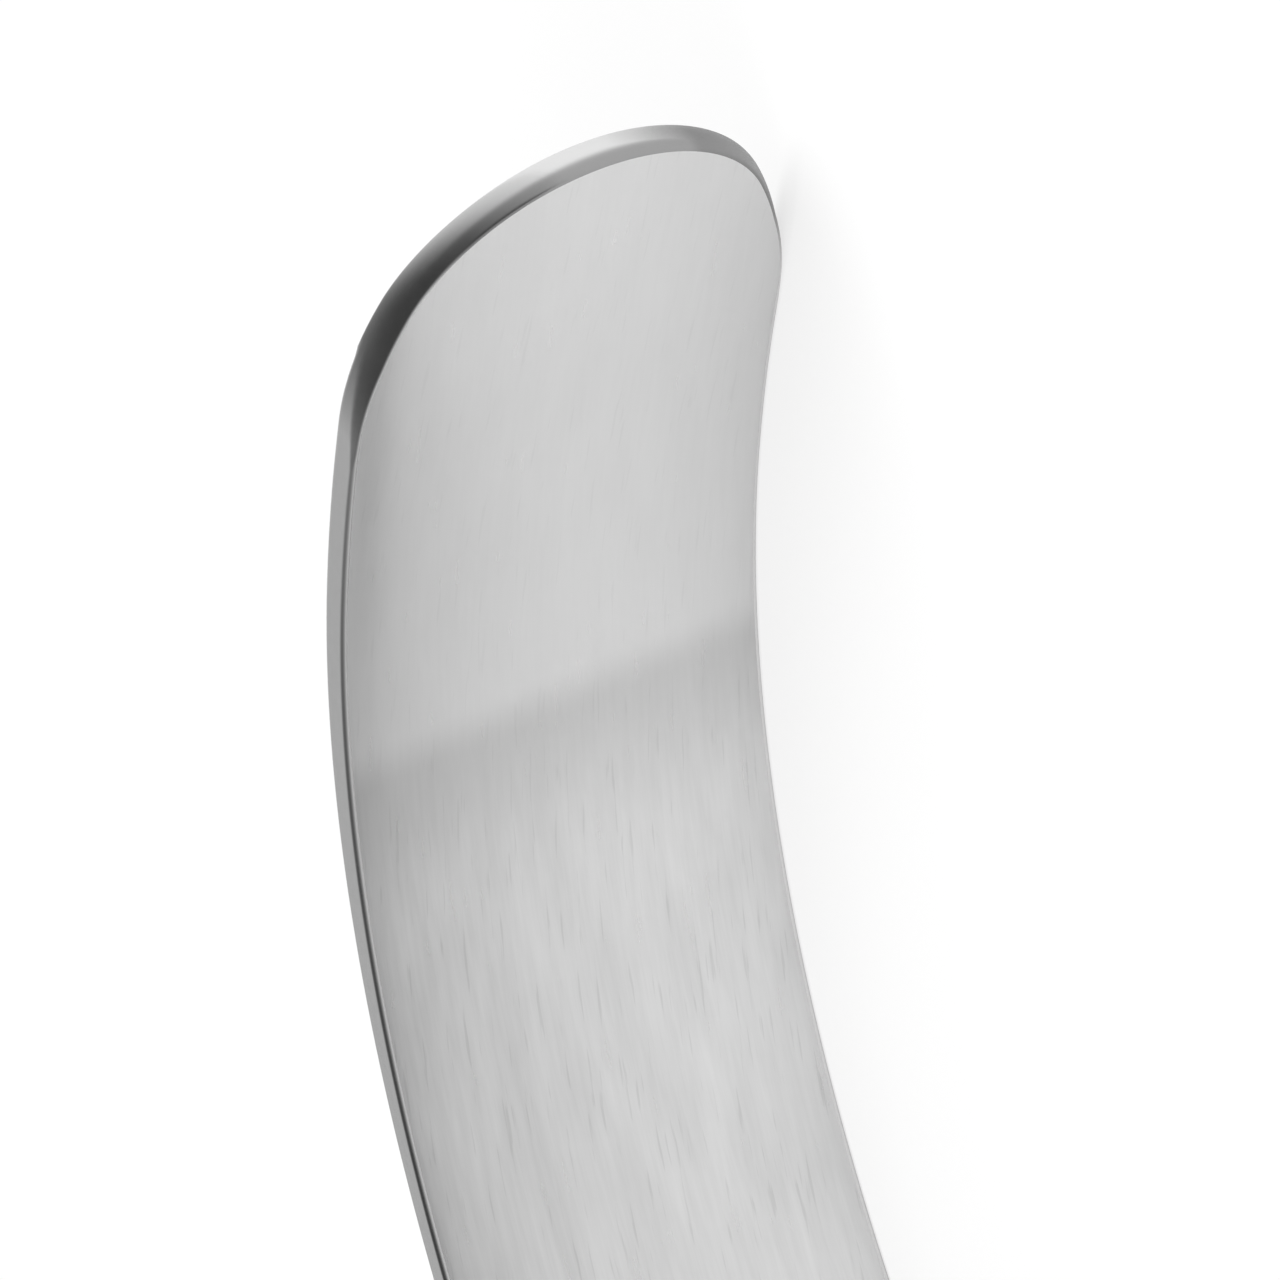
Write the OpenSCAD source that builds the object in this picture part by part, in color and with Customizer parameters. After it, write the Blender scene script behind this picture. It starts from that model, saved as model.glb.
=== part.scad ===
// Hooked ribbon retractor, hand held, for holding back the abdominal wall.
// One strip of stainless steel of constant section: a flat rounded tip, a deep
// question-mark blade, a straight flat shaft and a small reversed hook as the handle end.
// It lies on one long edge, so the side profile is in XY and the strip's width is along Z.
// The origin is on the lower edge, midway in the thickness, where the shaft meets the heel.
// +X runs along the shaft towards the blade. Both ends curl clockwise going outwards.

/* [Strip] */
// Width of the strip, from edge to edge
width = 25; // [20:0.5:30]
// Thickness of the strip
thickness = 2; // [1.5:0.1:3]
// Radius that breaks every long edge and the rim of both ends
edge_r = 0.3; // [0.1:0.05:0.6]

/* [Rounded ends] */
// How much longer than a half circle each rounded end is
end_stretch = 3.3; // [1:0.1:4]
// Radius of the two flanks that run from the sides to the nose
flank_r = 22; // [20:0.5:60]

/* [Blade] */
// Straight stretch between the rounded tip and the first bend
tip_run = 2.2; // [0.5:0.1:20]
// Inside radius of the easing bend behind the flat tip
ease_r = 112; // [80:1:200]
// Angle that the easing bend turns through
ease_angle = 5.6; // [2:0.1:15]
// Inside radius of the working part of the blade
blade_r = 73; // [50:1:100]
// Angle that the working part turns through
blade_angle = 45; // [30:1:60]
// Inside radius of the heel, between the blade and the shaft
heel_r = 49; // [30:1:65]
// Angle that the heel turns through
heel_angle = 95; // [80:1:110]

/* [Shaft and handle] */
// Length of the straight shaft
shaft_l = 238; // [150:1:320]
// Inside radius of the handle hook
hook_r = 13; // [8:0.5:25]
// Angle that the handle hook turns through
hook_angle = 130; // [90:1:150]
// Straight stretch between the handle hook and its rounded end
hook_run = 1; // [0.5:0.1:15]

/* [Hidden] */
$fn = 96;

// The pieces are joined at a thousandth of their size and enlarged afterwards, so that
// tangent faces meet to well under a micrometre whatever angles the bends have
fine = 0.001;
half_w = width / 2;
half_t = thickness / 2;
end_l = half_w + end_stretch;
// The flank arcs are centred past the middle line by this much
flank_over = flank_r - half_w;
// Radius of the nose that is tangent to both flanks
nose_r = half_w - pow(end_stretch, 2) / (2 * (flank_over - end_stretch));
// Half the angle of the nose arc, up to where the flanks take over
nose_half_angle = atan2(flank_over, end_l - nose_r);

// Cross-section of the strip: thickness along x about the origin, width along y
module strip_section() {
    translate([edge_r - half_t, 0]) square([thickness - 2 * edge_r, width]);
    translate([-half_t, edge_r]) square([thickness, width - 2 * edge_r]);
    for (x = [edge_r - half_t, half_t - edge_r], y = [edge_r, width - edge_r])
        translate([x, y]) circle(edge_r);
}

// Radial section of an end's arc: only its outer corners are broken
module rim_section(r) {
    translate([0, -half_t]) square([r - edge_r, thickness]);
    translate([0, edge_r - half_t]) square([r, thickness - 2 * edge_r]);
    for (y = [edge_r - half_t, half_t - edge_r])
        translate([r - edge_r, y]) circle(edge_r);
}

// Straight length of strip along +X, at the small scale
module run(length) {
    scale(fine) rotate([90, 0, 90]) linear_extrude(length) strip_section();
}

// Bend that starts along +X and turns clockwise, with r on its inner face, at the small scale
module bend(r, angle) {
    translate([0, -(r + half_t), 0] * fine)
        scale(fine)
            rotate_extrude(angle = angle, start = 90 - angle)
                translate([r + half_t, 0]) strip_section();
}

// Puts its children where such a bend ends, facing the way it leaves
module past_bend(r, angle) {
    translate([0, -(r + half_t), 0] * fine)
        rotate([0, 0, -angle])
            translate([0, r + half_t, 0] * fine) children();
}

// Puts its children where a straight length ends
module past_run(length) {
    translate([length, 0, 0] * fine) children();
}

// Flat disc sector of the strip's thickness in XZ, from angle start, counted from +X to +Z,
// at the small scale
module end_sector(x, z, r, start, angle) {
    translate([x, 0, z] * fine)
        scale(fine)
            rotate([90, 0, 0])
                rotate_extrude(angle = angle, start = start) rim_section(r);
}

// Rounded end: a nose arc and two flank arcs, tangent to each other and to the sides
module rounded_end() {
    flank_angle = 90 - nose_half_angle;
    end_sector(end_l - nose_r, half_w, nose_r, -nose_half_angle, 2 * nose_half_angle);
    end_sector(0, width - flank_r, flank_r, nose_half_angle, flank_angle);
    end_sector(0, flank_r, flank_r, -90, flank_angle);
}

// Blade from the heel out to the tip
module blade() {
    bend(heel_r, heel_angle);
    past_bend(heel_r, heel_angle) {
        bend(blade_r, blade_angle);
        past_bend(blade_r, blade_angle) {
            bend(ease_r, ease_angle);
            past_bend(ease_r, ease_angle) {
                run(tip_run);
                past_run(tip_run) rounded_end();
            }
        }
    }
}

// Shaft from the heel back to the handle hook and its end
module shaft_and_hook() {
    run(shaft_l);
    past_run(shaft_l) {
        bend(hook_r, hook_angle);
        past_bend(hook_r, hook_angle) {
            run(hook_run);
            past_run(hook_run) rounded_end();
        }
    }
}

module retractor() {
    color("#c8cacb")
        scale(1 / fine) {
            blade();
            rotate([0, 0, 180]) shaft_and_hook();
        }
}

retractor();
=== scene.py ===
import math

import bmesh
import bpy
from bpy.props import FloatProperty, FloatVectorProperty, IntProperty, PointerProperty
from mathutils import Matrix, Vector


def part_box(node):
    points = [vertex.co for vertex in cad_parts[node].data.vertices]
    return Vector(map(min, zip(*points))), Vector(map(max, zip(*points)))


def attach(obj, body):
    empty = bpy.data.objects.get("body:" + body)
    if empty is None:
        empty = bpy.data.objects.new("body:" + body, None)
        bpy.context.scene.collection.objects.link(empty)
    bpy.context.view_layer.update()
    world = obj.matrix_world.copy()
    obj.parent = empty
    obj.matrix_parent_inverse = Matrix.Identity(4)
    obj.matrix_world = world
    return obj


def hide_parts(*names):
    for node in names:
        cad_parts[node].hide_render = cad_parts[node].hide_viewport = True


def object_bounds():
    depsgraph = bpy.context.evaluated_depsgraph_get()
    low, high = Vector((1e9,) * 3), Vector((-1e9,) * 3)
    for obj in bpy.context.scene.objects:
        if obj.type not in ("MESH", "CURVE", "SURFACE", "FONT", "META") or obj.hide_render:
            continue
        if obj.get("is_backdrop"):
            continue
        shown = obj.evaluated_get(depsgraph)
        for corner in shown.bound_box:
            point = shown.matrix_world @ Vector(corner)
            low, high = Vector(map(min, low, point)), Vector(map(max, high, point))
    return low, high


bl_info = {
    "name": "Ribbon Retractor",
    "version": (1, 0, 0),
    "blender": (4, 5, 0),
    "location": "View3D > Sidebar > Retractor",
    "description": "Hooked ribbon retractor of brushed stainless steel, with its stage",
    "category": "Object",
}

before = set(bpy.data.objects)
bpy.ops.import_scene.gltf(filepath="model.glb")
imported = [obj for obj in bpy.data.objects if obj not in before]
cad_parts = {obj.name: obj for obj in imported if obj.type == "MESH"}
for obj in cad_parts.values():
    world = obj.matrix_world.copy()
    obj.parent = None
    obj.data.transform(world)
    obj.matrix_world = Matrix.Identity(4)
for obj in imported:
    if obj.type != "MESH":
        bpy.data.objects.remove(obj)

MM = 0.001
NODE = "retractor"
CAD_LOW, CAD_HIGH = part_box(NODE)


def linear(hex_colour):
    """sRGB hex colour as the linear RGB that the shaders take."""
    channels = [int(hex_colour[i:i + 2], 16) / 255 for i in (1, 3, 5)]
    return tuple(c / 12.92 if c <= 0.04045 else ((c + 0.055) / 1.055) ** 2.4 for c in channels)


def length(name, description, millimetres):
    """A length property, given in millimetres."""
    return FloatProperty(name=name, description=description, default=millimetres * MM, min=0.0,
                         precision=5, unit="LENGTH", subtype="DISTANCE")


def angle(name, description, degrees):
    """An angle property, given in degrees."""
    return FloatProperty(name=name, description=description, default=math.radians(degrees),
                         unit="ROTATION", subtype="ANGLE")


def colour(name, description, hex_colour):
    """A colour property, given as sRGB hex."""
    return FloatVectorProperty(name=name, description=description, default=linear(hex_colour),
                               min=0.0, max=1.0, size=3, subtype="COLOR")


class RetractorStripSizes(bpy.types.PropertyGroup):
    """Sizes of the strip, its ends and its bends."""
    width: length("Strip width", "Width from edge to edge", (CAD_HIGH.z - CAD_LOW.z) / MM)
    thickness: length("Thickness", "Thickness of the strip", 2.0)
    edge_radius: length("Edge radius", "Radius that breaks the long edges", 0.3)
    end_stretch: length("End stretch", "How much longer than a half circle each end is", 3.3)
    flank_radius: length("Flank radius", "Radius from the sides to the nose of an end", 22.0)
    nose_crown: length("Nose crown", "Radius across the ground rim at the nose", 2.2)
    flank_crown: length("Flank crown", "Radius across the ground rim at the flanks", 4.5)
    nose_top: length("Nose crown top", "How far the nose's crown lies towards the inner face", 0.2)
    flank_top: length("Flank crown top", "How far the flanks' crown lies towards the outer face", 0.8)
    rim_corner: length("Rim corner", "Radius where a ground rim meets the faces", 0.12)
    tip_run: length("Tip run", "Straight stretch between the tip and the easing bend", 2.2)
    ease_radius: length("Easing radius", "Inside radius of the easing bend", 112.0)
    ease_angle: angle("Easing angle", "Angle of the easing bend", 5.6)
    blade_radius: length("Blade radius", "Inside radius of the blade", 73.0)
    blade_angle: angle("Blade angle", "Angle of the blade", 45.0)
    heel_radius: length("Heel radius", "Inside radius of the heel", 49.0)
    heel_angle: angle("Heel angle", "Angle of the heel", 95.0)
    shaft_length: length("Shaft length", "Length of the straight shaft", 238.0)
    hook_radius: length("Hook radius", "Inside radius of the handle hook", 13.0)
    hook_angle: angle("Hook angle", "Angle of the handle hook", 130.0)
    hook_run: length("Hook run", "Straight stretch between the hook and its end", 1.0)
    columns: IntProperty(name="Columns", description="Faces across each broad face", default=20,
                         min=4)


class RetractorFinish(bpy.types.PropertyGroup):
    """Colours and grain of the steel and the stage."""
    steel: colour("Steel", "Base colour of the stainless steel", "#d4d4d4")
    floor: colour("Floor", "Colour of the floor", "#f4f4f4")
    grain_width: length("Grain width", "Width of one brush line", 0.12)
    grain_length: length("Grain length", "Length of one brush line", 4.0)
    stroke_width: length("Stroke width", "Width of one deep brush stroke", 0.28)
    stroke_length: length("Stroke length", "Length of one deep brush stroke", 5.0)
    satin_reach: length("Satin reach", "How far the finer finish reaches from the tip", 41.5)
    # Painted shade: this band is a darker tone painted into the steel's colour
    painted_band_length: length("Band length", "Length of the duller band behind the finer finish", 12.0)


def add(tree, kind, inputs=(), **settings):
    """Adds a node with its settings. A node or socket among the inputs is linked, a value is set."""
    node = tree.nodes.new(kind)
    for name, value in settings.items():
        setattr(node, name, value)
    for key, value in dict(inputs).items():
        source = value.outputs[0] if isinstance(value, bpy.types.Node) else value
        if isinstance(source, bpy.types.NodeSocket):
            tree.links.new(source, node.inputs[key])
        else:
            node.inputs[key].default_value = source
    return node


def new_material(name):
    """A material with an empty node tree."""
    material = bpy.data.materials.new(name)
    material.use_nodes = True
    material.node_tree.nodes.clear()
    return material, material.node_tree


class Blank:
    """The flat strip before it is bent: along is measured from where the shaft meets the heel.

    The turn of the outline is the angle of its normal from the strip's direction: 0 at a nose
    and 90 degrees at the sides. It goes on growing along the sides, as if the flanks went on.
    """
    # The faces lie this far inside the CAD's, which keeps the rounder bends inside its box
    HAIR = 0.01 * MM
    # Turns where the nose's crown starts to change, and where the ground rim starts to run out
    NOSE_TURN = math.radians(15)
    GROUND_TURN = math.radians(75)
    # How steeply the ground rim runs out into the plain edge of the sides
    RUN_OUT = 0.035
    # Where a line of painted shade, a darker reflection painted into the rim's colour, starts
    # towards the inner face, and how softly, as parts of the half thickness, and how dark it is
    SHADE_LINE_LEVEL = 0.22
    SHADE_LINE_BLUR = 0.07
    SHADE_LINE_DEPTH = 0.85
    # Turns, in degrees, between which that line of painted shade fades out
    SHADE_LINE_TURNS = (38, 58)
    # Turns between which shade is painted into the lower side's rim, and between which it fades
    LOWER_SHADE_TURNS = (5, 32, 73, 88)

    def __init__(self, sizes):
        self.sizes = sizes
        self.half_w = sizes.width / 2
        self.half_t = sizes.thickness / 2
        self.face_h = self.half_t - self.HAIR
        self.end_l = self.half_w + sizes.end_stretch
        self.flank_over = sizes.flank_radius - self.half_w
        self.nose_r = self.half_w - sizes.end_stretch ** 2 / (2 * (self.flank_over - sizes.end_stretch))
        self.nose_half = math.atan2(self.flank_over, self.end_l - self.nose_r)
        self.heel_l = (sizes.heel_radius + self.half_t) * sizes.heel_angle
        self.blade_l = (sizes.blade_radius + self.half_t) * sizes.blade_angle
        self.ease_l = (sizes.ease_radius + self.half_t) * sizes.ease_angle
        self.hook_l = (sizes.hook_radius + self.half_t) * sizes.hook_angle
        self.tip_side = self.heel_l + self.blade_l + self.ease_l + sizes.tip_run
        self.hook_side = sizes.shaft_length + self.hook_l + sizes.hook_run

    def end_stations(self, side, steps=48):
        """Outline points of an end from the sides to the nose: along, half width and normal."""
        for i in range(1, steps + 1):
            turn = math.pi / 2 * (1 - i / steps)
            if turn > self.nose_half:
                along = side + self.sizes.flank_radius * math.cos(turn)
                across = self.sizes.flank_radius * math.sin(turn) - self.flank_over
            else:
                along = side + self.end_l - self.nose_r + self.nose_r * math.cos(turn)
                across = self.nose_r * math.sin(turn)
            yield along, across, math.cos(turn), math.sin(turn), turn

    def side_stations(self, side, bends, straight=5 * MM, bent=0.7 * MM, near=7 * MM,
                      close=0.15 * MM):
        """Outline points along the straight sides, from an end inwards.

        They are one step apart on straight stretches, a shorter one in the bends, and the
        shortest, close, while the end is nearer than near.
        """
        least = 1e-6
        along = side
        while along > least:
            turn = math.pi / 2 + (side - along) / self.sizes.flank_radius
            yield along, self.half_w, 0.0, 1.0, turn
            in_bend = any(start < along <= end + bent for start, end in bends)
            step = close if side - along < near else bent if in_bend else straight
            limits = [limit for pair in bends for limit in pair if limit < along - least]
            along = max(along - step, max(limits, default=0.0))

    def stations(self):
        """All stations from the nose of the handle hook to the nose of the blade."""
        blade_bends = [(0.0, self.tip_side - self.sizes.tip_run)]
        hook_bends = [(self.sizes.shaft_length, self.hook_side - self.sizes.hook_run)]
        blade = list(self.side_stations(self.tip_side, blade_bends))[::-1]
        blade += list(self.end_stations(self.tip_side))
        hook = list(self.side_stations(self.hook_side, hook_bends))[::-1]
        hook += list(self.end_stations(self.hook_side))
        middle = (0.0, self.half_w, 0.0, 1.0, math.pi)
        mirrored = [(-s, w, -ns, nw, turn) for s, w, ns, nw, turn in hook[::-1]]
        return mirrored + [middle] + blade

    def dullness(self, height, turn, lower):
        """Painted shade in the rim's colour: on the lower side, and as a darker line further in."""
        degrees = math.degrees(turn)
        shade_line = 1 / (1 + math.exp((height / self.half_t + self.SHADE_LINE_LEVEL) / self.SHADE_LINE_BLUR))
        first, last = self.SHADE_LINE_TURNS
        shade_line *= self.SHADE_LINE_DEPTH * min(max((last - degrees) / (last - first), 0.0), 1.0)
        if not lower:
            return shade_line
        start, full, fade, end = self.LOWER_SHADE_TURNS
        rise = min(max((degrees - start) / (full - start), 0.0), 1.0)
        fall = min(max((end - degrees) / (end - fade), 0.0), 1.0)
        return max(shade_line, rise * fall)

    def heights(self, levels=8):
        """Heights across the thickness at which the rim is set, closest near the faces."""
        radius = self.sizes.edge_radius
        flat = self.face_h - radius
        quarter = [flat + radius * math.cos(math.pi / 2 * i / levels) for i in range(levels + 1)]
        between = [flat - flat * i / levels for i in range(1, 2 * levels)]
        return quarter + between + [-h for h in quarter[::-1]]

    def corner(self, radius, height):
        """How far a rounded corner lies inside its sharp form at a height."""
        over = max(abs(height) - (self.face_h - radius), 0.0)
        return radius - math.sqrt(max(radius ** 2 - over ** 2, 0.0))

    def inset(self, height, turn):
        """How far the rim lies inside the outline at a height and a turn of the outline."""
        sizes = self.sizes
        part = (turn - self.NOSE_TURN) / (self.GROUND_TURN - self.NOSE_TURN)
        part = min(max(part, 0.0), 1.0) ** 3
        radius = 1 / ((1 - part) / sizes.nose_crown + part / sizes.flank_crown)
        top = part * sizes.flank_top - (1 - part) * sizes.nose_top
        crown = radius - math.sqrt(radius ** 2 - (height - top) ** 2)
        crown += self.corner(sizes.rim_corner, height)
        if turn <= self.GROUND_TURN:
            return crown
        lead = self.RUN_OUT * sizes.flank_radius * (turn - self.GROUND_TURN)
        return max(self.corner(sizes.edge_radius, height), crown - lead)

    def mesh(self, margin=0.04 * MM, same=1e-7, sliver=1e-8):
        """Closed mesh of the flat strip, with its flat coordinates kept as the attribute blank.

        Each ring of points runs down the rim of the upper side, across the inner face, up the
        rim of the lower side and back across the outer face. The rim's first and last rows lie
        on the faces, a margin from the corner, so that the shading bends only there. Points at
        the same place are joined, and slivers are taken out.
        """
        columns = self.sizes.columns
        spread = [math.sin(math.pi / 2 * (2 * i / columns - 1)) for i in range(1, columns)]
        heights = self.heights()
        points, dull = [], []
        for along, across, normal_s, normal_w, turn in self.stations():
            # The rim as along the strip, across it and height, from the outer face to the inner
            insets = [(height, self.inset(height, turn)) for height in heights]
            insets.insert(0, (self.face_h, insets[0][1] + margin))
            insets.append((-self.face_h, insets[-1][1] + margin))
            rim = [(along - normal_s * inset, max(across - normal_w * inset, 0.0), height)
                   for height, inset in insets]
            outer_s, outer_w, _ = rim[0]
            inner_s, inner_w, _ = rim[-1]
            points += rim
            points += [(inner_s, -f * inner_w, -self.face_h) for f in spread]
            points += [(s, -w, h) for s, w, h in rim[::-1]]
            points += [(outer_s, f * outer_w, self.face_h) for f in spread]
            # Painted shade for the rim's colour, on the upper and the lower side
            upper = [self.dullness(height, turn, False) for height, _ in insets]
            lower = [self.dullness(height, turn, True) for height, _ in insets]
            dull += upper + [0.0] * len(spread) + lower[::-1] + [0.0] * len(spread)
        side = len(heights) + 2 + len(spread)
        ring = 2 * side
        faces, on_rim = [], []
        for base in range(0, len(points) - ring, ring):
            for i in range(ring):
                j = (i + 1) % ring
                faces.append((base + i, base + j, base + ring + j, base + ring + i))
                on_rim.append(0 < i % side < len(heights))
        mesh = bpy.data.meshes.new(NODE)
        mesh.from_pydata([(s, h, w) for s, w, h in points], [], faces)
        mesh.attributes.new("rim", "BOOLEAN", "FACE").data.foreach_set("value", on_rim)
        flat = mesh.attributes.new("blank", "FLOAT_VECTOR", "POINT")
        flat.data.foreach_set("vector", [c for point in points for c in point])
        # The painted shade, kept as an attribute for the rim's material to darken its colour
        mesh.attributes.new("dull", "FLOAT", "POINT").data.foreach_set("value", dull)
        shell = bmesh.new()
        shell.from_mesh(mesh)
        bmesh.ops.remove_doubles(shell, verts=shell.verts, dist=same)
        bmesh.ops.dissolve_degenerate(shell, edges=shell.edges, dist=sliver)
        bmesh.ops.recalc_face_normals(shell, faces=shell.faces)
        for face in shell.faces:
            face.smooth = True
        shell.to_mesh(mesh)
        shell.free()
        return mesh


def bend_group():
    """Node group that wraps the strip clockwise round a bend, past Start on one side of the heel."""
    tree = bpy.data.node_groups.new("Bend", "GeometryNodeTree")
    for name, kind in (("Strip", "Geometry"), ("Side", "Float"), ("Start", "Float"),
                       ("Radius", "Float"), ("Angle", "Float")):
        tree.interface.new_socket(name, in_out="INPUT", socket_type="NodeSocket" + kind)
    tree.interface.new_socket("Strip", in_out="OUTPUT", socket_type="NodeSocketGeometry")
    given = add(tree, "NodeGroupInput").outputs

    # How far each point lies past the start, and how far round the bend that takes it
    blank = add(tree, "GeometryNodeInputNamedAttribute", {"Name": "blank"}, data_type="FLOAT_VECTOR")
    flat = add(tree, "ShaderNodeSeparateXYZ", {0: blank})
    outward = add(tree, "ShaderNodeMath", {0: flat, 1: given["Side"]}, operation="MULTIPLY")
    past = add(tree, "ShaderNodeMath", {0: outward, 1: given["Start"]}, operation="SUBTRACT")
    whole = add(tree, "ShaderNodeMath", {0: given["Radius"], 1: given["Angle"]},
                operation="MULTIPLY")
    wrapped = add(tree, "ShaderNodeClamp", {"Value": past, "Max": whole})
    turn = add(tree, "ShaderNodeMath", {0: wrapped, 1: given["Radius"]}, operation="DIVIDE")

    # The point as seen from its foot on the middle line, turned with the strip
    facing = add(tree, "ShaderNodeCombineXYZ", {"X": given["Side"], "Y": given["Side"], "Z": 1.0})
    place = add(tree, "GeometryNodeInputPosition")
    local = add(tree, "ShaderNodeVectorMath", {0: place, 1: facing}, operation="MULTIPLY")
    foot_x = add(tree, "ShaderNodeMath", {0: given["Start"], 1: wrapped}, operation="ADD")
    foot = add(tree, "ShaderNodeCombineXYZ", {"X": foot_x})
    rest = add(tree, "ShaderNodeVectorMath", {0: local, 1: foot}, operation="SUBTRACT")
    clockwise = add(tree, "ShaderNodeMath", {0: turn, 1: -1.0}, operation="MULTIPLY")
    turned = add(tree, "ShaderNodeVectorRotate", {"Vector": rest, "Angle": clockwise},
                 rotation_type="Z_AXIS")

    # Where the foot lies on the arc
    sine = add(tree, "ShaderNodeMath", {0: turn}, operation="SINE")
    cosine = add(tree, "ShaderNodeMath", {0: turn}, operation="COSINE")
    arc_x = add(tree, "ShaderNodeMath", {0: sine, 1: given["Radius"], 2: given["Start"]},
                operation="MULTIPLY_ADD")
    drop = add(tree, "ShaderNodeMath", {0: cosine, 1: 1.0}, operation="SUBTRACT")
    arc_y = add(tree, "ShaderNodeMath", {0: drop, 1: given["Radius"]}, operation="MULTIPLY")
    arc = add(tree, "ShaderNodeCombineXYZ", {"X": arc_x, "Y": arc_y})

    bent = add(tree, "ShaderNodeVectorMath", {0: turned, 1: arc}, operation="ADD")
    back = add(tree, "ShaderNodeVectorMath", {0: bent, 1: facing}, operation="MULTIPLY")
    moved = add(tree, "GeometryNodeSetPosition", {"Geometry": given["Strip"], "Position": back})
    add(tree, "NodeGroupOutput", {"Strip": moved})
    return tree


def strip_tree(face_metal, rim_metal):
    """Node tree that bends the blank, from each end inwards, and gives it its two finishes."""
    tree = bpy.data.node_groups.new("Bent strip", "GeometryNodeTree")
    tree.interface.new_socket("Blank", in_out="INPUT", socket_type="NodeSocketGeometry")
    for name in ("Half thickness", "Lift", "Shaft length", "Ease radius", "Ease angle",
                 "Blade radius", "Blade angle", "Heel radius", "Heel angle",
                 "Hook radius", "Hook angle"):
        tree.interface.new_socket(name, in_out="INPUT", socket_type="NodeSocketFloat")
    tree.interface.new_socket("Strip", in_out="OUTPUT", socket_type="NodeSocketGeometry")
    given = add(tree, "NodeGroupInput").outputs
    group = bend_group()
    radius, arc = {}, {}
    for name in ("Ease", "Blade", "Heel", "Hook"):
        radius[name] = add(tree, "ShaderNodeMath", {0: given[name + " radius"],
                           1: given["Half thickness"]}, operation="ADD")
        arc[name] = add(tree, "ShaderNodeMath", {0: radius[name], 1: given[name + " angle"]},
                        operation="MULTIPLY")
    ease_start = add(tree, "ShaderNodeMath", {0: arc["Heel"], 1: arc["Blade"]}, operation="ADD")
    strip = given["Blank"]
    for name, side, start in (("Ease", 1.0, ease_start), ("Blade", 1.0, arc["Heel"]),
                              ("Heel", 1.0, 0.0), ("Hook", -1.0, given["Shaft length"])):
        strip = add(tree, "GeometryNodeGroup", {"Strip": strip, "Side": side, "Start": start,
                    "Radius": radius[name], "Angle": given[name + " angle"]},
                    node_tree=group, label=name + " bend")
    lift = add(tree, "ShaderNodeCombineXYZ", {"Z": given["Lift"]})
    lifted = add(tree, "GeometryNodeSetPosition", {"Geometry": strip, "Offset": lift})
    real = add(tree, "GeometryNodeRealizeInstances", {"Geometry": lifted})
    faces = add(tree, "GeometryNodeSetMaterial", {"Geometry": real, "Material": face_metal})
    rim = add(tree, "GeometryNodeInputNamedAttribute", {"Name": "rim"}, data_type="BOOLEAN")
    edges = add(tree, "GeometryNodeSetMaterial", {"Geometry": faces, "Selection": rim,
                "Material": rim_metal})
    add(tree, "NodeGroupOutput", {"Strip": edges})
    return tree


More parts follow.
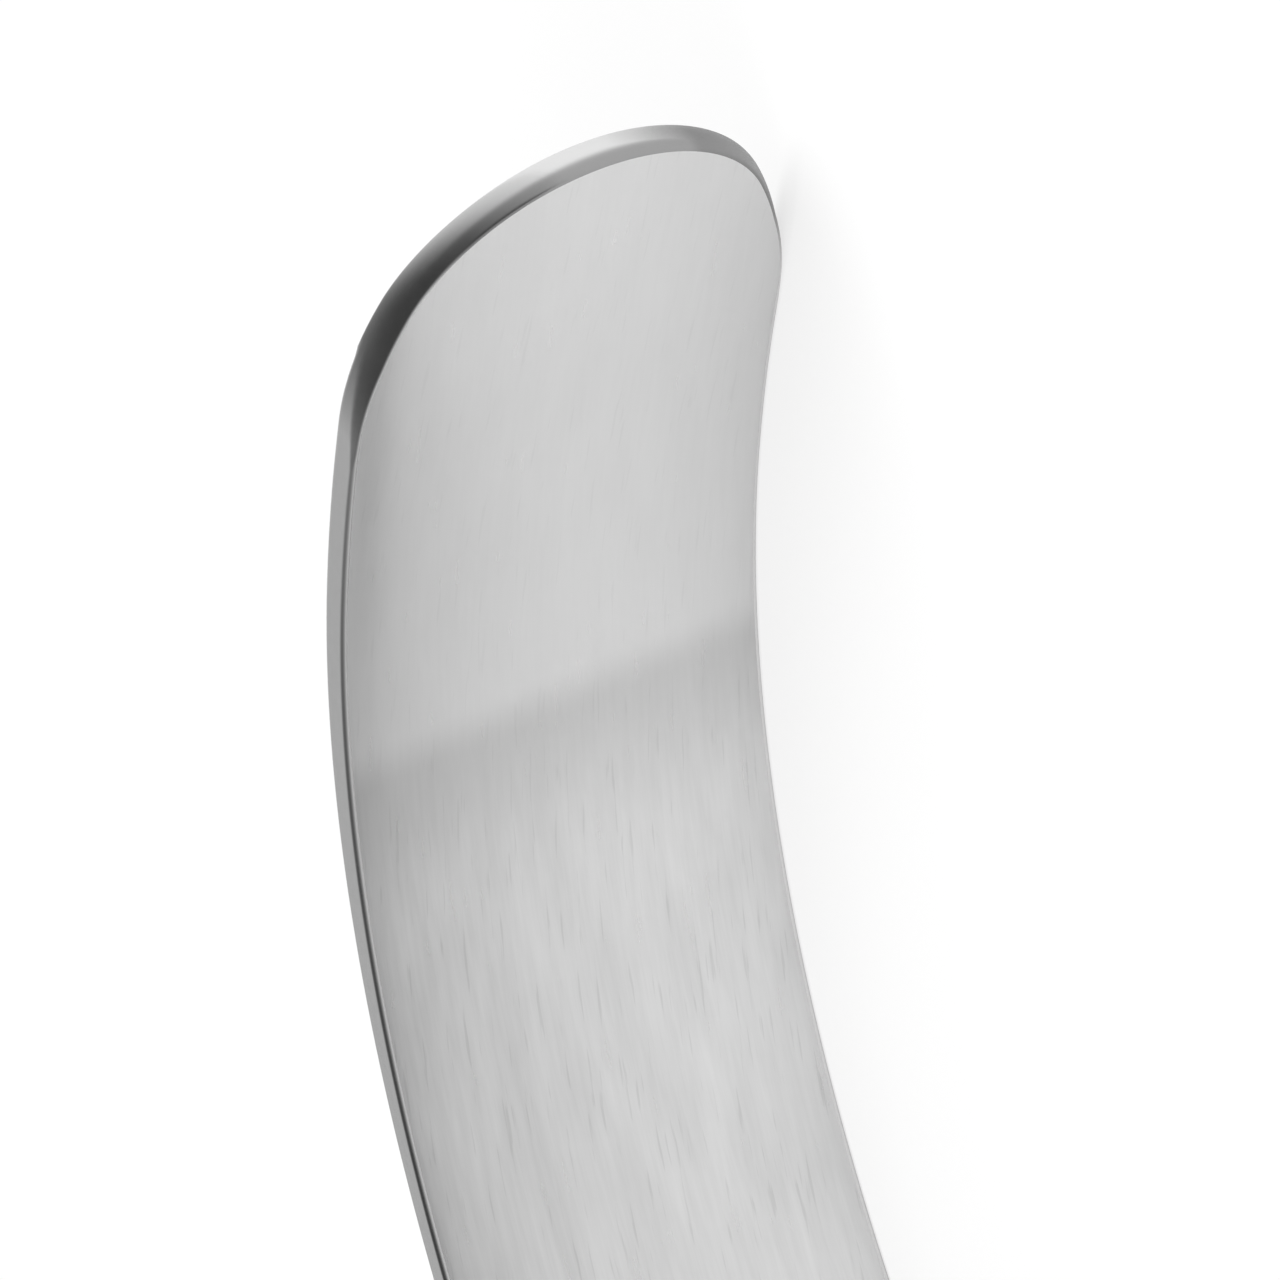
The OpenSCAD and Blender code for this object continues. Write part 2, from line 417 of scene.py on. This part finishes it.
def brushed_stainless(finish, tip_end, half_width):
    """Stainless steel sheet brushed lengthwise: a soft satin sheen with fine lines along the strip.

    The tip was finished finer than the rest, so its marks are fainter; where the rougher finish
    starts, shade is painted into the colour as a darker band. The faces are a little rounded,
    more so along their two sides.
    """
    metal, tree = new_material("Brushed stainless steel")
    blank = add(tree, "ShaderNodeAttribute", attribute_name="blank").outputs["Vector"]
    flat = add(tree, "ShaderNodeSeparateXYZ", {0: blank}).outputs

    # How coarse the finish is, and the band of painted shade, by the distance from the tip
    reach, fade, blur, full = finish.satin_reach, finish.painted_band_length, 1.8 * MM, 1.0 * MM
    finer, painted_band_depth = 0.35, 0.17
    from_tip = add(tree, "ShaderNodeMath", {0: tip_end, 1: flat["X"]}, operation="SUBTRACT")
    coarse = add(tree, "ShaderNodeMapRange", {"Value": from_tip, "From Min": reach,
                 "From Max": reach + fade, "To Min": finer, "To Max": 1.0})
    rise = add(tree, "ShaderNodeMapRange", {"Value": from_tip, "From Min": reach - blur,
               "From Max": reach + blur}, interpolation_type="SMOOTHSTEP")
    fall = add(tree, "ShaderNodeMapRange", {"Value": from_tip, "From Min": reach + full,
               "From Max": reach + fade, "To Min": 1.0, "To Max": 0.0},
               interpolation_type="SMOOTHSTEP")
    painted_band = add(tree, "ShaderNodeMath", {0: rise, 1: fall}, operation="MULTIPLY")

    # Marks of the brushing: a noise with cells of a length and a width, turned by an angle
    kinds = {"line": (finish.grain_length, finish.grain_width, 0.0),
             "streak": (6 * MM, 0.5 * MM, math.radians(1)),
             "stroke": (finish.stroke_length, finish.stroke_width, math.radians(4)),
             "blotch": (9 * MM, 2.2 * MM, 0.0)}
    marks = {}
    for name, (along, across, turn) in kinds.items():
        turned = add(tree, "ShaderNodeMapping", {"Vector": blank, "Rotation": (0.0, 0.0, turn)})
        cells = add(tree, "ShaderNodeMapping", {"Vector": turned,
                    "Scale": (1 / along, 1 / across, 0.0)})
        noise = add(tree, "ShaderNodeTexNoise", {"Vector": cells, "Scale": 1.0, "Detail": 2.0})
        marks[name] = add(tree, "ShaderNodeMath", {0: noise.outputs["Fac"], 1: 0.5},
                          operation="SUBTRACT", label=name)
    # Of the strokes only the deepest show, as separate dark ones
    deepest, shown = -0.2, -0.11
    marks["stroke"] = add(tree, "ShaderNodeMapRange", {"Value": marks["stroke"],
                          "From Min": deepest, "From Max": shown, "To Min": -1.0, "To Max": 0.0},
                          interpolation_type="SMOOTHSTEP", label="deep stroke")

    # Tone of the steel: the marks, by how strongly each shows, less the band of painted shade
    strengths = {"line": 0.06, "streak": 0.2, "stroke": 0.11, "blotch": 0.22}
    shade = 0.0
    for name, strength in strengths.items():
        shade = add(tree, "ShaderNodeMath", {0: marks[name], 1: strength, 2: shade},
                    operation="MULTIPLY_ADD")
    tone = add(tree, "ShaderNodeMath", {0: shade, 1: coarse, 2: 1.0}, operation="MULTIPLY_ADD")
    # Painted shade: a darker band in the steel's colour
    tone = add(tree, "ShaderNodeMath", {0: painted_band, 1: -painted_band_depth, 2: tone},
               operation="MULTIPLY_ADD")
    tint = add(tree, "ShaderNodeVectorMath", {0: finish.steel, "Scale": tone}, operation="SCALE")
    satin, uneven = 0.29, 0.08
    rough = add(tree, "ShaderNodeMath", {0: marks["streak"], 1: uneven, 2: satin},
                operation="MULTIPLY_ADD")

    # Relief: the brush lines, and how far the faces fall off towards the upper and the lower
    # side, by a power of the distance from the middle line
    line_depth = 0.001 * MM
    up = add(tree, "ShaderNodeMath", {0: flat["Y"], 1: half_width}, operation="DIVIDE")
    down = add(tree, "ShaderNodeMath", {0: up, 1: -1.0}, operation="MULTIPLY")
    relief = add(tree, "ShaderNodeMath", {0: marks["line"], 1: line_depth}, operation="MULTIPLY")
    for way, power, depth in ((up, 2.0, 0.45 * MM), (down, 2.0, 0.45 * MM),
                              (up, 12.0, 0.42 * MM), (down, 40.0, 0.25 * MM)):
        part = add(tree, "ShaderNodeMath", {0: way, 1: 0.0}, operation="MAXIMUM")
        fallen = add(tree, "ShaderNodeMath", {0: part, 1: power}, operation="POWER")
        relief = add(tree, "ShaderNodeMath", {0: fallen, 1: -depth, 2: relief},
                     operation="MULTIPLY_ADD")
    bump = add(tree, "ShaderNodeBump", {"Height": relief, "Strength": 1.0, "Distance": 1.0})

    # The tangent lies across the strip, so that the sheen is drawn out across the brush lines
    tangent = add(tree, "ShaderNodeVectorTransform", {"Vector": (0.0, 0.0, 1.0)},
                  vector_type="VECTOR", convert_from="OBJECT", convert_to="WORLD")
    shader = add(tree, "ShaderNodeBsdfPrincipled", {"Base Color": tint, "Metallic": 1.0,
                 "Roughness": rough, "Anisotropic": 0.85, "Normal": bump, "Tangent": tangent})
    add(tree, "ShaderNodeOutputMaterial", {"Surface": shader})
    return metal


def polished_stainless(finish):
    """Stainless steel edge ground and polished: clear bright and dark reflections, slightly soft.

    Where shade is painted into its colour, on the lower side and along a line further in, the
    reflections are weaker.
    """
    darkest_painted_shade, cloud_size = 0.35, 0.4 * MM
    metal, tree = new_material("Polished stainless steel")
    # Painted shade: the colour is darkened towards the darkest tone where the attribute says
    dull = add(tree, "ShaderNodeAttribute", attribute_name="dull").outputs["Fac"]
    tone = add(tree, "ShaderNodeMapRange", {"Value": dull, "To Min": 1.0, "To Max": darkest_painted_shade})
    tint = add(tree, "ShaderNodeVectorMath", {0: finish.steel, "Scale": tone}, operation="SCALE")
    place = add(tree, "ShaderNodeTexCoord").outputs["Object"]
    cloud = add(tree, "ShaderNodeTexNoise", {"Vector": place, "Scale": 1 / cloud_size})
    rough = add(tree, "ShaderNodeMapRange", {"Value": cloud, "From Min": 0.35,
                "From Max": 0.65, "To Min": 0.24, "To Max": 0.27})
    shader = add(tree, "ShaderNodeBsdfPrincipled", {"Base Color": tint, "Metallic": 1.0,
                 "Roughness": rough})
    add(tree, "ShaderNodeOutputMaterial", {"Surface": shader})
    return metal


def matt_paper(finish):
    """Matt white paper: even and clean, with the object's soft shadow.

    The camera sees it nearly white by itself. Metal sees the same white, but less of it close
    to the strip on the side away from the blade's hollow, where the contact shadow lies.
    """
    # What the paper glows with by itself, and how much of the light it throws back, as seen by
    # the camera and by metal
    camera_glow, camera_share = 0.71, 0.33
    metal_glow, metal_share = 0.5, 0.7
    # The contact shadow: which way it is open, how far the strip darkens it, and how deeply
    hollow, contact_reach, contact_depth = (-0.8, 0.5, 0.3), 14 * MM, 1.6
    paper, tree = new_material("Matt white paper")
    seen = add(tree, "ShaderNodeLightPath").outputs
    metal = add(tree, "ShaderNodeMath", {0: seen["Is Glossy Ray"], 1: seen["Is Transmission Ray"]},
                operation="MAXIMUM")
    open_way = add(tree, "ShaderNodeCombineXYZ", dict(zip("XYZ", hollow)))
    open_sky = add(tree, "ShaderNodeAmbientOcclusion", {"Distance": contact_reach,
                   "Normal": open_way}, samples=4)
    contact = add(tree, "ShaderNodeMath", {0: open_sky.outputs["AO"], 1: contact_depth},
                  operation="POWER")
    dim = add(tree, "ShaderNodeMath", {0: contact, 1: metal_share}, operation="MULTIPLY")
    share = add(tree, "ShaderNodeMix", {0: metal, 2: 1.0, 3: dim})
    lit = add(tree, "ShaderNodeMath", {0: seen["Is Camera Ray"], 1: camera_share - 1, 2: share},
              operation="MULTIPLY_ADD")
    tone = add(tree, "ShaderNodeVectorMath", {0: finish.floor, "Scale": lit}, operation="SCALE")
    matt = add(tree, "ShaderNodeBsdfDiffuse", {"Color": tone})
    shine = add(tree, "ShaderNodeMath", {0: metal, 1: metal_glow}, operation="MULTIPLY")
    shine = add(tree, "ShaderNodeMath", {0: shine, 1: contact}, operation="MULTIPLY")
    glow = add(tree, "ShaderNodeMath", {0: seen["Is Camera Ray"], 1: camera_glow, 2: shine},
               operation="MULTIPLY_ADD")
    white = add(tree, "ShaderNodeEmission", {"Color": (1.0, 1.0, 1.0, 1.0), "Strength": glow})
    total = add(tree, "ShaderNodeAddShader", {0: white, 1: matt})
    add(tree, "ShaderNodeOutputMaterial", {"Surface": total})
    return paper


class RETRACTOR_OT_strip(bpy.types.Operator):
    """Make the bent strip from its flat blank"""
    bl_idname = "retractor.strip"
    bl_label = "Strip"

    def execute(self, context):
        sizes, finish = context.scene.retractor_sizes, context.scene.retractor_finish
        blank = Blank(sizes)
        strip = bpy.data.objects.new("retractor_strip", blank.mesh())
        context.scene.collection.objects.link(strip)
        faces = brushed_stainless(finish, blank.tip_side + blank.end_l, blank.half_w)
        tree = strip_tree(faces, polished_stainless(finish))
        modifier = strip.modifiers.new("Bends", "NODES")
        modifier.node_group = tree
        values = {"Half thickness": sizes.thickness / 2, "Lift": sizes.width / 2,
                  "Shaft length": sizes.shaft_length}
        for name in ("ease", "blade", "heel", "hook"):
            for word in ("radius", "angle"):
                values[f"{name.capitalize()} {word}"] = getattr(sizes, f"{name}_{word}")
        for item in tree.interface.items_tree:
            if item.in_out == "INPUT" and item.name in values:
                modifier[item.identifier] = values[item.name]
        context.view_layer.update()
        evaluated = strip.evaluated_get(context.evaluated_depsgraph_get())
        mesh = bpy.data.meshes.new_from_object(evaluated)
        if not mesh.polygons:
            raise RuntimeError("The bends gave no strip")
        strip.modifiers.clear()
        strip.data = mesh
        mesh.name = "retractor_strip"
        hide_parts(NODE)
        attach(strip, "root")
        return {"FINISHED"}


class RETRACTOR_OT_stage(bpy.types.Operator):
    """Make the floor, the light and the camera"""
    bl_idname = "retractor.stage"
    bl_label = "Stage"

    def execute(self, context):
        scene = context.scene
        finish = scene.retractor_finish
        self.floor(scene, finish)
        self.light(scene)
        self.camera(scene)
        scene.view_settings.view_transform = "Standard"
        return {"FINISHED"}

    def floor(self, scene, finish, reach=30.0, drop=0.05 * MM):
        """Flat square of paper, a hair below the object."""
        corners = [(x * reach, y * reach, -drop) for x, y in ((-1, -1), (1, -1), (1, 1), (-1, 1))]
        mesh = bpy.data.meshes.new("floor")
        mesh.from_pydata(corners, [], [(0, 1, 2, 3)])
        mesh.materials.append(matt_paper(finish))
        floor = bpy.data.objects.new("floor", mesh)
        scene.collection.objects.link(floor)
        floor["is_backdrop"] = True

    def light(self, scene):
        """Even studio light, in which metal also sees a darker ceiling and the camera's side."""
        world = bpy.data.worlds.new("Studio")
        world.use_nodes = True
        tree = world.node_tree
        tree.nodes.clear()
        even = 0.6
        way = add(tree, "ShaderNodeTexCoord").outputs["Generated"]
        # Middle direction of each shade, cosines where it starts and ends, brightness at both
        shades = {"ceiling": ((0.05, 0.12, 0.967), -0.1, 1.0, 1.2, 0.07),
                  "camera side": ((-0.93, -0.06, 0.36), 0.86, 0.97, 0.96, 0.29)}
        dome = 1.0
        for name, (middle, first, last, bright, dark) in shades.items():
            near = add(tree, "ShaderNodeVectorMath", {0: way, 1: Vector(middle).normalized()},
                       operation="DOT_PRODUCT")
            shade = add(tree, "ShaderNodeMapRange", {"Value": near.outputs["Value"],
                        "From Min": first, "From Max": last, "To Min": bright, "To Max": dark},
                        interpolation_type="SMOOTHSTEP", label=name)
            dome = add(tree, "ShaderNodeMath", {0: dome, 1: shade}, operation="MULTIPLY")
        seen = add(tree, "ShaderNodeLightPath").outputs
        strength = add(tree, "ShaderNodeMix", {0: seen["Is Glossy Ray"], 2: even, 3: dome})
        light = add(tree, "ShaderNodeBackground", {"Strength": strength})
        add(tree, "ShaderNodeOutputWorld", {"Surface": light})
        scene.world = world
        self.lamp(scene, "Key", place=(-0.5, -0.9, 1.1), size=1.2, watts=16.0)
        self.lamp(scene, "Fill", place=(-0.4, 1.3, 0.9), size=1.2, watts=9.0)

    def lamp(self, scene, name, place, size, watts):
        """Square soft light that points at the middle of the object, unseen in the metal."""
        data = bpy.data.lights.new(name, "AREA")
        data.size, data.energy = size, watts
        low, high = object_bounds()
        turn = ((low + high) / 2 - Vector(place)).to_track_quat("-Z", "Y")
        lamp = bpy.data.objects.new(name, data)
        lamp.matrix_world = Matrix.Translation(place) @ turn.to_matrix().to_4x4()
        lamp.visible_glossy = False
        scene.collection.objects.link(lamp)

    def camera(self, scene):
        """The photograph's view: over the shaft at the blade, rolled so that the tip is at the top."""
        place = Vector((-386.004, -122.973, 166.962)) * MM
        ahead = Vector((0.93216, 0.05984, -0.35706)).normalized()
        roughly_up = Vector((-0.07416, -0.93377, -0.35011))
        data = bpy.data.cameras.new("Camera")
        data.sensor_width = 36.0
        data.lens = 237.126
        right = ahead.cross(roughly_up).normalized()
        turn = Matrix((right, right.cross(ahead), -ahead)).transposed()
        camera = bpy.data.objects.new("Camera", data)
        camera.matrix_world = Matrix.Translation(place) @ turn.to_4x4()
        scene.collection.objects.link(camera)
        scene.camera = camera


class RETRACTOR_PT_panel(bpy.types.Panel):
    """Sizes, finish and steps of the retractor"""
    bl_label = "Retractor"
    bl_idname = "RETRACTOR_PT_panel"
    bl_space_type = "VIEW_3D"
    bl_region_type = "UI"
    bl_category = "Retractor"

    def draw(self, context):
        for group in (context.scene.retractor_sizes, context.scene.retractor_finish):
            box = self.layout.box()
            for name in group.bl_rna.properties.keys():
                if name not in ("rna_type", "name"):
                    box.prop(group, name)
        self.layout.operator("retractor.strip")
        self.layout.operator("retractor.stage")


CLASSES = (RetractorStripSizes, RetractorFinish, RETRACTOR_OT_strip, RETRACTOR_OT_stage,
           RETRACTOR_PT_panel)


def register():
    for cls in CLASSES:
        bpy.utils.register_class(cls)
    bpy.types.Scene.retractor_sizes = PointerProperty(type=RetractorStripSizes)
    bpy.types.Scene.retractor_finish = PointerProperty(type=RetractorFinish)


def unregister():
    del bpy.types.Scene.retractor_finish
    del bpy.types.Scene.retractor_sizes
    for cls in reversed(CLASSES):
        bpy.utils.unregister_class(cls)


def main():
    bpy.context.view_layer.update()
    register()
    bpy.ops.retractor.strip()
    bpy.ops.retractor.stage()


if __name__ == "__main__":
    main()
